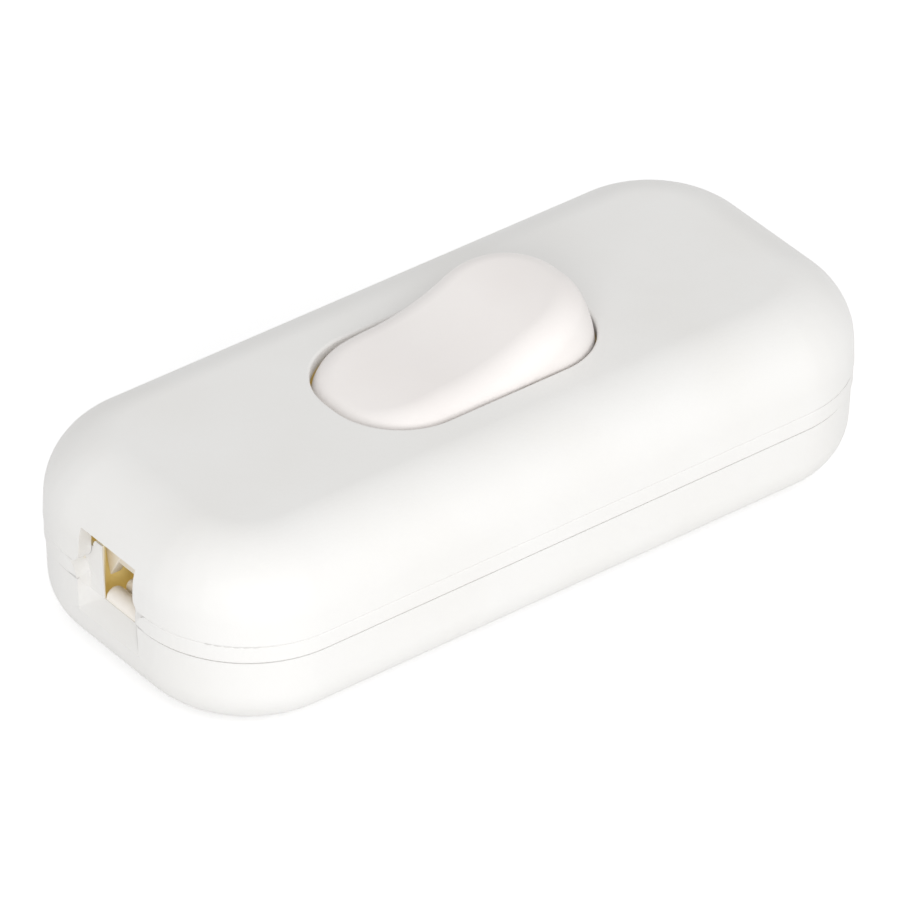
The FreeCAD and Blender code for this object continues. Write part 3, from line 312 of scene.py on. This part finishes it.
def closed_mesh(label, points, faces):
    """A mesh of points in millimetres, with its faces turned outwards."""
    mesh = bpy.data.meshes.new(label)
    mesh.from_pydata((np.asarray(points) * MILLIMETRE).tolist(), [], faces)
    sheet = bmesh.new()
    sheet.from_mesh(mesh)
    bmesh.ops.recalc_face_normals(sheet, faces=sheet.faces)
    sheet.to_mesh(mesh)
    sheet.free()
    return mesh


def merged_copy(node, label):
    """A piece that copies a CAD node's mesh, with the loose corners of its triangles merged."""
    sheet = bmesh.new()
    sheet.from_mesh(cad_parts[node].data)
    bmesh.ops.remove_doubles(sheet, verts=sheet.verts, dist=MERGE_WITHIN)
    mesh = bpy.data.meshes.new(label)
    sheet.to_mesh(mesh)
    sheet.free()
    return new_piece(label, mesh)


def smooth(mesh, sharp_over):
    """Shades a mesh smooth, with sharp edges where faces meet at more than some degrees."""
    mesh.polygons.foreach_set("use_smooth", np.ones(len(mesh.polygons), dtype=bool))
    mesh.set_sharp_from_angle(angle=math.radians(sharp_over))


def wedge(label, start, stop):
    """A closed six-sided block between two level rectangles across X.

    Each rectangle is (x, lowest y, highest y, lowest z, highest z) in millimetres, and its corners are
    taken in turn round it.
    """
    corners = np.array((start, stop))[:, [(0, 1, 3), (0, 2, 3), (0, 2, 4), (0, 1, 4)]].reshape(-1, 3)
    faces = [(0, 1, 2, 3), (7, 6, 5, 4), (4, 5, 1, 0), (5, 6, 2, 1), (6, 7, 3, 2), (7, 4, 0, 3)]
    return new_piece(label, closed_mesh(label, corners, faces))


def apply_modifiers(piece):
    """Works a piece's modifiers into its mesh."""
    bpy.context.view_layer.update()
    seen = piece.evaluated_get(bpy.context.evaluated_depsgraph_get())
    mesh = bpy.data.meshes.new_from_object(seen)
    piece.modifiers.clear()
    piece.data = mesh


def recut_shell(node, label, cutters):
    """A copy of a shell with its entries cut further, and its shading worked out again.

    Each block is taken away from the merged copy, faces that meet at more than SHELL_SHARP degrees keep a
    sharp edge, and elsewhere the larger faces set the normals.
    """
    piece = merged_copy(node, label)
    for cutter in cutters:
        cut = piece.modifiers.new("cut", "BOOLEAN")
        cut.operation = "DIFFERENCE"
        cut.solver = "EXACT"
        cut.object = cutter
        apply_modifiers(piece)
        block = cutter.data
        bpy.data.objects.remove(cutter)
        bpy.data.meshes.remove(block)
    smooth(piece.data, SHELL_SHARP)
    shade = piece.modifiers.new("shade", "WEIGHTED_NORMAL")
    shade.keep_sharp = True
    shade.weight = LARGE_FACES_LEAD
    apply_modifiers(piece)
    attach(piece, "housing")
    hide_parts(node)
    return piece


# The entries' sizes are in millimetres, x outwards from the middle of the housing and z up from its foot.
ENDS = (-1, 1)
NOTCH_HALF, NOTCH_TOP, NOTCH_CUT_FROM = 4.15, 14.45, 13.2
NOTCH_INSIDE, NOTCH_OUTSIDE = 37.0, 41.0
MOUTH_FACE, ENTRY_TOP = 38.4, 14.0
SLOT_HALF, SLOT_FLOOR, SLOT_INSIDE = 2.35, 6.9, 36.9
SLOT_EDGE, SLOT_LEAN = 0.15, 0.32
TONGUE_TOP, TONGUE_HALF, TONGUE_INSIDE, TONGUE_OUTSIDE = 12.62, 4.3, 37.5, 38.6
BED_START, BED_STOP, BED_HALF, BED_HALF_BEFORE = 34.2, 37.55, 2.4, 3.7
BED_TOP, SHAVING, RIDGE_TOP = 5.6, 0.01, 8.2
BED_SIDE_FOOT, BED_SIDE_TOP = 3.2, 5.8


def notch_cutters():
    """Blocks that raise each notch's top edge to where the photograph has it."""
    rim = (-NOTCH_HALF, NOTCH_HALF, NOTCH_CUT_FROM, NOTCH_TOP)
    for end in ENDS:
        yield wedge("notch block", (end * NOTCH_INSIDE, *rim), (end * NOTCH_OUTSIDE, *rim))


def entry_cutters():
    """Blocks behind the slot's sharp rim, over the tongue, over the bed and along both sides of it."""
    rim = MOUTH_FACE - SLOT_EDGE
    reach = rim - SLOT_INSIDE
    half = SLOT_HALF + SLOT_LEAN / 2
    narrow = (-half, half, SLOT_FLOOR, ENTRY_TOP)
    wide = (-half - reach, half + reach, SLOT_FLOOR - reach, ENTRY_TOP)
    over = (-TONGUE_HALF, TONGUE_HALF, TONGUE_TOP, ENTRY_TOP)
    above = (-BED_HALF_BEFORE, BED_HALF_BEFORE, BED_TOP - SHAVING, RIDGE_TOP)
    for end in ENDS:
        yield wedge("slot block", (end * rim, *narrow), (end * SLOT_INSIDE, *wide))
        yield wedge("tongue block", (end * TONGUE_INSIDE, *over), (end * TONGUE_OUTSIDE, *over))
        yield wedge("bed block", (end * BED_START, *above), (end * BED_STOP, *above))
        for side in ENDS:
            beside = (*sorted((side * BED_HALF, side * BED_HALF_BEFORE)), BED_SIDE_FOOT, BED_SIDE_TOP)
            yield wedge("bed side", (end * BED_START, *beside), (end * BED_STOP, *beside))


for node, label, cutters, material, slot in (
    ("base_shell", "base_moulding", entry_cutters(), shell_plastic("base plastic"), "base_plastic"),
    ("cover_shell", "cover_moulding", notch_cutters(), shell_plastic("cover plastic"), "cover_plastic"),
):
    shell = recut_shell(node, label, cutters)
    coat(shell.data, material)


# Cord ribs: two rounded bars across each cord bed, part of the base moulding, under the clamp's teeth.
# Their white is brighter than the shells': painted light, for the light they catch from the entry, and they
# get none of the shells' painted shade.
RIBS = ((37.3, 1.0), (35.35, 0.7))
RIB_CREST, RIB_FOOT, RIB_END_ROUND = 7.9, 5.0, 0.3
RIB_ARCH_POINTS, RIB_ROUND_POINTS = 25, 7
# Painted light: a brighter copy of the shell white, for the light the ribs catch from the entry.
LIT_RIB_WHITE = (0.94, 0.90, 0.85, 1.0)
LIT_RIB_SHADE = (0.92, 0.87, 0.80, 1.0)
SMALL_PART_SHARP = 40


def rib_mesh(label, end):
    """Two bars along Y, each an arch carried along its length.

    The arch is half a circle on two upright sides. At each end it shrinks towards its middle line along
    a quarter circle, which rounds the end's rim, and closes on a flat face.
    """
    turn = np.linspace(0.0, math.pi, RIB_ARCH_POINTS)
    bow = np.linspace(0.0, math.pi / 2, RIB_ROUND_POINTS)
    inset = np.concatenate([1 - np.sin(bow), np.zeros(1), 1 - np.sin(bow[::-1])]) * RIB_END_ROUND
    rise = (1 - np.cos(bow)) * RIB_END_ROUND
    along = np.concatenate([-BED_HALF + rise, np.zeros(1), BED_HALF - rise[::-1]])
    points, faces = [], []
    for place, radius in RIBS:
        size = (radius - inset)[:, None]
        x = place + size * np.cos(turn)[None, :]
        z = RIB_CREST - radius + size * np.sin(turn)[None, :]
        foot_x = place + size * np.array([[-1.0, 1.0]])
        foot_z = np.full_like(foot_x, RIB_FOOT)
        ring_x = np.concatenate([x, foot_x], axis=1) * end
        ring_z = np.concatenate([z, foot_z], axis=1)
        ring_y = np.broadcast_to(along[:, None], ring_x.shape)
        first = len(points)
        points += np.stack([ring_x, ring_y, ring_z], axis=-1).reshape(-1, 3).tolist()
        rows, columns = ring_x.shape
        index = first + np.arange(rows * columns).reshape(rows, columns)
        after = np.roll(index, -1, axis=1)
        quads = np.stack([index[:-1], after[:-1], after[1:], index[1:]], axis=-1)
        faces += quads.reshape(-1, 4).tolist() + [index[0].tolist(), index[-1].tolist()]
    mesh = closed_mesh(label, points, faces)
    smooth(mesh, SMALL_PART_SHARP)
    return mesh


def white_plastic(name, white, shade, roughness, depth, grain=4000.0):
    """Moulded plastic that is white all through."""
    material, tree, shader = new_material(name, IOR=1.46, Specular_IOR_Level=0.45)
    add_grain(tree, shader, white, shade, roughness, depth, grain)
    return material


lit_rib_plastic = white_plastic("rib plastic", LIT_RIB_WHITE, LIT_RIB_SHADE, roughness=0.42, depth=0.012 * MILLIMETRE)
for label, end in (("near_cord_ribs", -1), ("far_cord_ribs", 1)):
    ribs = new_piece(label, rib_mesh(label, end))
    coat(ribs.data, lit_rib_plastic)
    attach(ribs, "housing")


# Rocker: a separate moulding with a wave-shaped top, a touch pinker and smoother than the shells. It turns
# on two trunnions, which the base and the cover hold between them.
ROCKER_WHITE = (0.905, 0.872, 0.852, 1.0)
ROCKER_SHADE = (0.885, 0.845, 0.824, 1.0)
finish("rocker_button", white_plastic(
    "rocker plastic", ROCKER_WHITE, ROCKER_SHADE, roughness=0.36, depth=0.009 * MILLIMETRE, grain=5000.0
))


# Cord clamps: toothed bars moulded in natural nylon, one over the cord at each end. Two screws pull each
# of them down.
NYLON = (0.87, 0.83, 0.76, 1.0)
NYLON_SHADE = (0.84, 0.78, 0.68, 1.0)


def nylon(name, roughness):
    """Natural nylon, creamy and a little cloudy."""
    material, tree, shader = new_material(name, IOR=1.53)
    add_grain(
        tree, shader, NYLON, NYLON_SHADE, roughness, depth=0.01 * MILLIMETRE, grain=3500.0, clouds=160.0
    )
    return material


clamp_nylon = nylon("clamp nylon", roughness=0.5)
finish("near_cord_clamp", clamp_nylon)
finish("far_cord_clamp", clamp_nylon)


# Clamp teeth: a pointed tooth hangs from each side of a clamp's front edge and guides the cord.
# It is moulded with the bar.
TOOTH_PROFILE = ((4.2, 11.5), (1.5, 11.5), (3.35, 8.35))
TOOTH_FRONT, TOOTH_BACK = 37.02, 35.7
TOOTH_ROUND, TOOTH_ROUND_STEPS = 0.15, 3


def teeth_mesh(label, end):
    """Two prisms: the tooth's three-cornered profile in Y and Z, and its mirror image, carried along X."""
    y, z = np.tile(np.transpose(TOOTH_PROFILE), 2)
    x = end * np.repeat((TOOTH_FRONT, TOOTH_BACK), len(TOOTH_PROFILE))
    points = np.concatenate([np.column_stack([x, side * y, z]) for side in ENDS])
    faces = []
    for first in (0, len(x)):
        front = np.arange(3) + first
        after = np.roll(front, -1)
        faces += [front.tolist(), (front[::-1] + 3).tolist()]
        faces += np.stack([front, front + 3, after + 3, after], axis=-1).tolist()
    return closed_mesh(label, points, faces)


for label, end in (("near_clamp_teeth", -1), ("far_clamp_teeth", 1)):
    teeth = new_piece(label, teeth_mesh(label, end))
    rim = teeth.modifiers.new("rim", "BEVEL")
    rim.width = TOOTH_ROUND * MILLIMETRE
    rim.segments = TOOTH_ROUND_STEPS
    apply_modifiers(teeth)
    coat(teeth.data, clamp_nylon)
    smooth(teeth.data, SMALL_PART_SHARP)
    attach(teeth, "housing")


# Current path: strips and levers are stamped from rolled brass, which shows its rolling lines along X.
# Terminals are cut from drawn brass bar, and the contacts are silver rivets.
LINES_PER_METRE = (150.0, 9000.0, 9000.0)
SPOTS_PER_METRE = 700.0
SPOT_EDGES = (0.45, 0.75)
TARNISH_ROUGHENS = 0.25


def rolled_metal_group():
    """Colour, roughness and height of rolled or drawn metal.

    Fine lines along X come from noise stretched along that axis, and tarnish from clouds that darken the
    colour and raise the roughness.
    """
    colour, number = "NodeSocketColor", "NodeSocketFloat"
    inputs = {
        "Colour": (colour, (0.8, 0.6, 0.3, 1.0)),
        "Tarnish": (colour, (0.5, 0.35, 0.18, 1.0)),
        "Roughness": (number, 0.3),
        "Amount": (number, 0.4),
    }
    outputs = {"Colour": colour, "Roughness": number, "Height": number}
    group, given, result = new_group("rolled metal", inputs, outputs)
    place = add_node(group, "ShaderNodeTexCoord", (-2, 3))
    stretch = add_node(group, "ShaderNodeMapping", (-1, 3), Scale=LINES_PER_METRE)
    lines = add_node(group, "ShaderNodeTexNoise", (0, 2), Scale=1.0, Detail=3.0)
    clouds = add_node(group, "ShaderNodeTexNoise", (0, 4), Scale=SPOTS_PER_METRE, Detail=5.0, Roughness=0.6)
    feed(group, place.outputs["Object"], stretch.inputs["Vector"])
    feed(group, stretch.outputs["Vector"], lines.inputs["Vector"])
    feed(group, place.outputs["Object"], clouds.inputs["Vector"])
    spots = add_node(group, "ShaderNodeMapRange", (1, 4), From_Min=SPOT_EDGES[0], From_Max=SPOT_EDGES[1])
    feed(group, clouds.outputs["Fac"], spots.inputs["Value"])
    amount = work_out(group, (2, 4), "MULTIPLY", spots.outputs["Result"], given.outputs["Amount"])
    mixed = mix_colours(group, (4, 0), amount, given.outputs["Colour"], given.outputs["Tarnish"])
    rough = work_out(group, (4, 2), "MULTIPLY_ADD", amount, TARNISH_ROUGHENS, given.outputs["Roughness"])
    feed(group, mixed, result.inputs["Colour"])
    feed(group, rough, result.inputs["Roughness"])
    feed(group, lines.outputs["Fac"], result.inputs["Height"])
    return group


ROLLED_METAL = rolled_metal_group()


def metal(name, colour, tarnish, roughness, amount):
    """Rolled or drawn metal with some tarnish."""
    material, tree, shader = new_material(name, Metallic=1.0)
    skin = add_node(tree, "ShaderNodeGroup", (-4, 0), node_tree=ROLLED_METAL)
    for label, setting in (
        ("Colour", colour), ("Tarnish", tarnish), ("Roughness", roughness), ("Amount", amount)
    ):
        feed(tree, setting, skin.inputs[label])
    dress(tree, shader, skin, strength=0.6, depth=0.004 * MILLIMETRE)
    return material


POLES = ("line", "neutral")
rolled_brass = metal(
    "rolled brass", (0.86, 0.66, 0.33, 1.0), (0.55, 0.36, 0.16, 1.0), roughness=0.30, amount=0.45
)
drawn_brass = metal(
    "drawn brass", (0.88, 0.70, 0.40, 1.0), (0.58, 0.40, 0.20, 1.0), roughness=0.24, amount=0.35
)
contact_silver = metal(
    "contact silver", (0.90, 0.89, 0.86, 1.0), (0.55, 0.50, 0.44, 1.0), roughness=0.22, amount=0.30
)
for pole in POLES:
    for part in ("inlet_strip", "outlet_strip", "lever"):
        finish(f"{pole}_{part}", rolled_brass)
    for part in ("inlet_terminal", "outlet_terminal"):
        finish(f"{pole}_{part}", drawn_brass)
    for part in ("fixed_contact", "lever_contact"):
        finish(f"{pole}_{part}", contact_silver)


# Plungers and springs: turned nylon pins in the rocker's bores, pushed towards the levers by coils of music
# wire. A coil stays with the rocker.
plunger_nylon = nylon("plunger nylon", roughness=0.35)
spring_wire = metal(
    "spring wire", (0.60, 0.60, 0.62, 1.0), (0.36, 0.34, 0.33, 1.0), roughness=0.28, amount=0.30
)
for pole in POLES:
    finish(f"{pole}_plunger", plunger_nylon)
    coil = merged_copy(f"{pole}_spring", f"{pole}_coil")
    coat(coil.data, spring_wire)
    smooth(coil.data, SMALL_PART_SHARP)
    spots = np.empty(len(coil.data.vertices) * 3)
    coil.data.vertices.foreach_get("co", spots)
    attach(coil, "rocker")
    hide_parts(f"{pole}_spring")
    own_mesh(coil)


# Screws: slotted steel screws, turned and zinc plated. They hold the wires in the terminals, the clamps on
# the base and, from below, the cover on the base.
zinc_plate = metal(
    "zinc plate", (0.74, 0.75, 0.76, 1.0), (0.48, 0.48, 0.47, 1.0), roughness=0.30, amount=0.40
)
for screws in ("terminal_screws", "clamp_screws", "housing_screws"):
    finish(screws, zinc_plate)


# Studio: a sheet of white paper under the switch, in a white room. The camera sees both as white, and the
# paper keeps the contact shadow. Two softboxes stand at the front and beyond the near end.
FLOOR_HALF, FLOOR_POINTS = 2.5, 5
FLOOR_LIFT = 0.42
SKY_LEVEL, SEEN_LEVEL = 0.73, 1.0
WHITE = (1.0, 1.0, 1.0, 1.0)
PAPER = (0.80, 0.80, 0.80, 1.0)


def floor_mesh():
    """A square in the plane z = 0, from two parameters along X and Y."""
    steps = np.linspace(-FLOOR_HALF, FLOOR_HALF, FLOOR_POINTS)
    along, across = np.meshgrid(steps, steps, indexing="ij")
    points = np.stack([along, across, np.zeros_like(along)], axis=-1).reshape(-1, 3)
    index = np.arange(points.shape[0]).reshape(along.shape)
    quads = np.stack([index[:-1, :-1], index[1:, :-1], index[1:, 1:], index[:-1, 1:]], axis=-1)
    mesh = bpy.data.meshes.new("floor")
    mesh.from_pydata(points.tolist(), [], quads.reshape(-1, 4).tolist())
    return mesh


def floor_material():
    """White paper: plain diffuse for light, and lifted to white where the camera or a gloss sees it."""
    material = bpy.data.materials.new("white paper")
    material.use_nodes = True
    tree = material.node_tree
    tree.nodes.clear()
    output = add_node(tree, "ShaderNodeOutputMaterial", (4, 0))
    paper = add_node(tree, "ShaderNodeBsdfDiffuse", (0, 0), Color=PAPER)
    lift = add_node(tree, "ShaderNodeEmission", (0, 1), Color=WHITE, Strength=FLOOR_LIFT)
    both = add_node(tree, "ShaderNodeAddShader", (1, 1))
    rays = add_node(tree, "ShaderNodeLightPath", (0, -2))
    seen = work_out(tree, (1, -1), "MAXIMUM", rays.outputs["Is Camera Ray"], rays.outputs["Is Glossy Ray"])
    pick = add_node(tree, "ShaderNodeMixShader", (2, 0))
    feed(tree, paper.outputs["BSDF"], both.inputs[0])
    feed(tree, lift.outputs["Emission"], both.inputs[1])
    feed(tree, seen, pick.inputs["Fac"])
    feed(tree, paper.outputs["BSDF"], pick.inputs[1])
    feed(tree, both.outputs["Shader"], pick.inputs[2])
    feed(tree, pick.outputs["Shader"], output.inputs["Surface"])
    return material


floor = new_piece("floor", floor_mesh())
coat(floor.data, floor_material())

world = bpy.data.worlds.new("studio")
bpy.context.scene.world = world
world.use_nodes = True
sky_tree = world.node_tree
sky = sky_tree.nodes["Background"]
rays = add_node(sky_tree, "ShaderNodeLightPath", (-4, 0))
seen = work_out(
    sky_tree, (-3, 0), "MAXIMUM", rays.outputs["Is Camera Ray"], rays.outputs["Is Transmission Ray"]
)
level = add_node(sky_tree, "ShaderNodeMapRange", (-2, 0), To_Min=SKY_LEVEL, To_Max=SEEN_LEVEL)
feed(sky_tree, seen, level.inputs["Value"])
feed(sky_tree, level.outputs["Result"], sky.inputs["Strength"])
feed(sky_tree, WHITE, sky.inputs["Color"])


def softbox(name, place, target, width, height, power):
    """A rectangular area lamp at a place, turned to a target."""
    lamp = bpy.data.lights.new(name, "AREA")
    lamp.shape = "RECTANGLE"
    lamp.size, lamp.size_y = width, height
    lamp.energy = power
    holder = bpy.data.objects.new(name, lamp)
    holder.location = place
    holder.rotation_euler = (Vector(target) - Vector(place)).to_track_quat("-Z", "Y").to_euler()
    bpy.context.scene.collection.objects.link(holder)


softbox("front softbox", (0.25, -0.75, 0.30), (0, 0, 0.01), width=0.9, height=0.5, power=1.3)
softbox("end softbox", (-0.52, -0.60, 0.28), (0, 0, 0.01), width=0.5, height=0.4, power=2.55)


# Camera: the photograph's view, fitted to the housing's outline in it. A long lens far off keeps the edges
# nearly parallel, and the shift puts the picture's middle where the photograph has it.
CAMERA_AZIMUTH = math.radians(-38.02)
CAMERA_ELEVATION = math.radians(35.46)
CAMERA_ROLL = math.radians(0.50)
CAMERA_DISTANCE = 0.94855
CAMERA_TARGET = Vector((0.0, 0.0, 0.00969))
FOCAL_PIXELS = 10207.75
PICTURE_SIDE = 900
PRINCIPAL_POINT = (452.94, 438.28)
SENSOR_WIDTH = 36.0
NEAREST_SEEN = 0.05

back = Vector((
    math.sin(CAMERA_AZIMUTH) * math.cos(CAMERA_ELEVATION),
    -math.cos(CAMERA_AZIMUTH) * math.cos(CAMERA_ELEVATION),
    math.sin(CAMERA_ELEVATION),
))
level_right = Vector((math.cos(CAMERA_AZIMUTH), math.sin(CAMERA_AZIMUTH), 0.0))
level_up = back.cross(level_right)
right = level_right * math.cos(CAMERA_ROLL) + level_up * math.sin(CAMERA_ROLL)
up = level_up * math.cos(CAMERA_ROLL) - level_right * math.sin(CAMERA_ROLL)
camera = bpy.data.objects.new("camera", bpy.data.cameras.new("camera"))
camera.data.sensor_width = SENSOR_WIDTH
camera.data.lens = FOCAL_PIXELS * SENSOR_WIDTH / PICTURE_SIDE
camera.data.shift_x = 0.5 - PRINCIPAL_POINT[0] / PICTURE_SIDE
camera.data.shift_y = PRINCIPAL_POINT[1] / PICTURE_SIDE - 0.5
camera.data.clip_start = NEAREST_SEEN
turn = Matrix((right, up, back)).transposed().to_4x4()
camera.matrix_world = Matrix.Translation(CAMERA_TARGET + back * CAMERA_DISTANCE) @ turn
bpy.context.scene.collection.objects.link(camera)
bpy.context.scene.camera = camera
bpy.context.scene.view_settings.view_transform = "Standard"
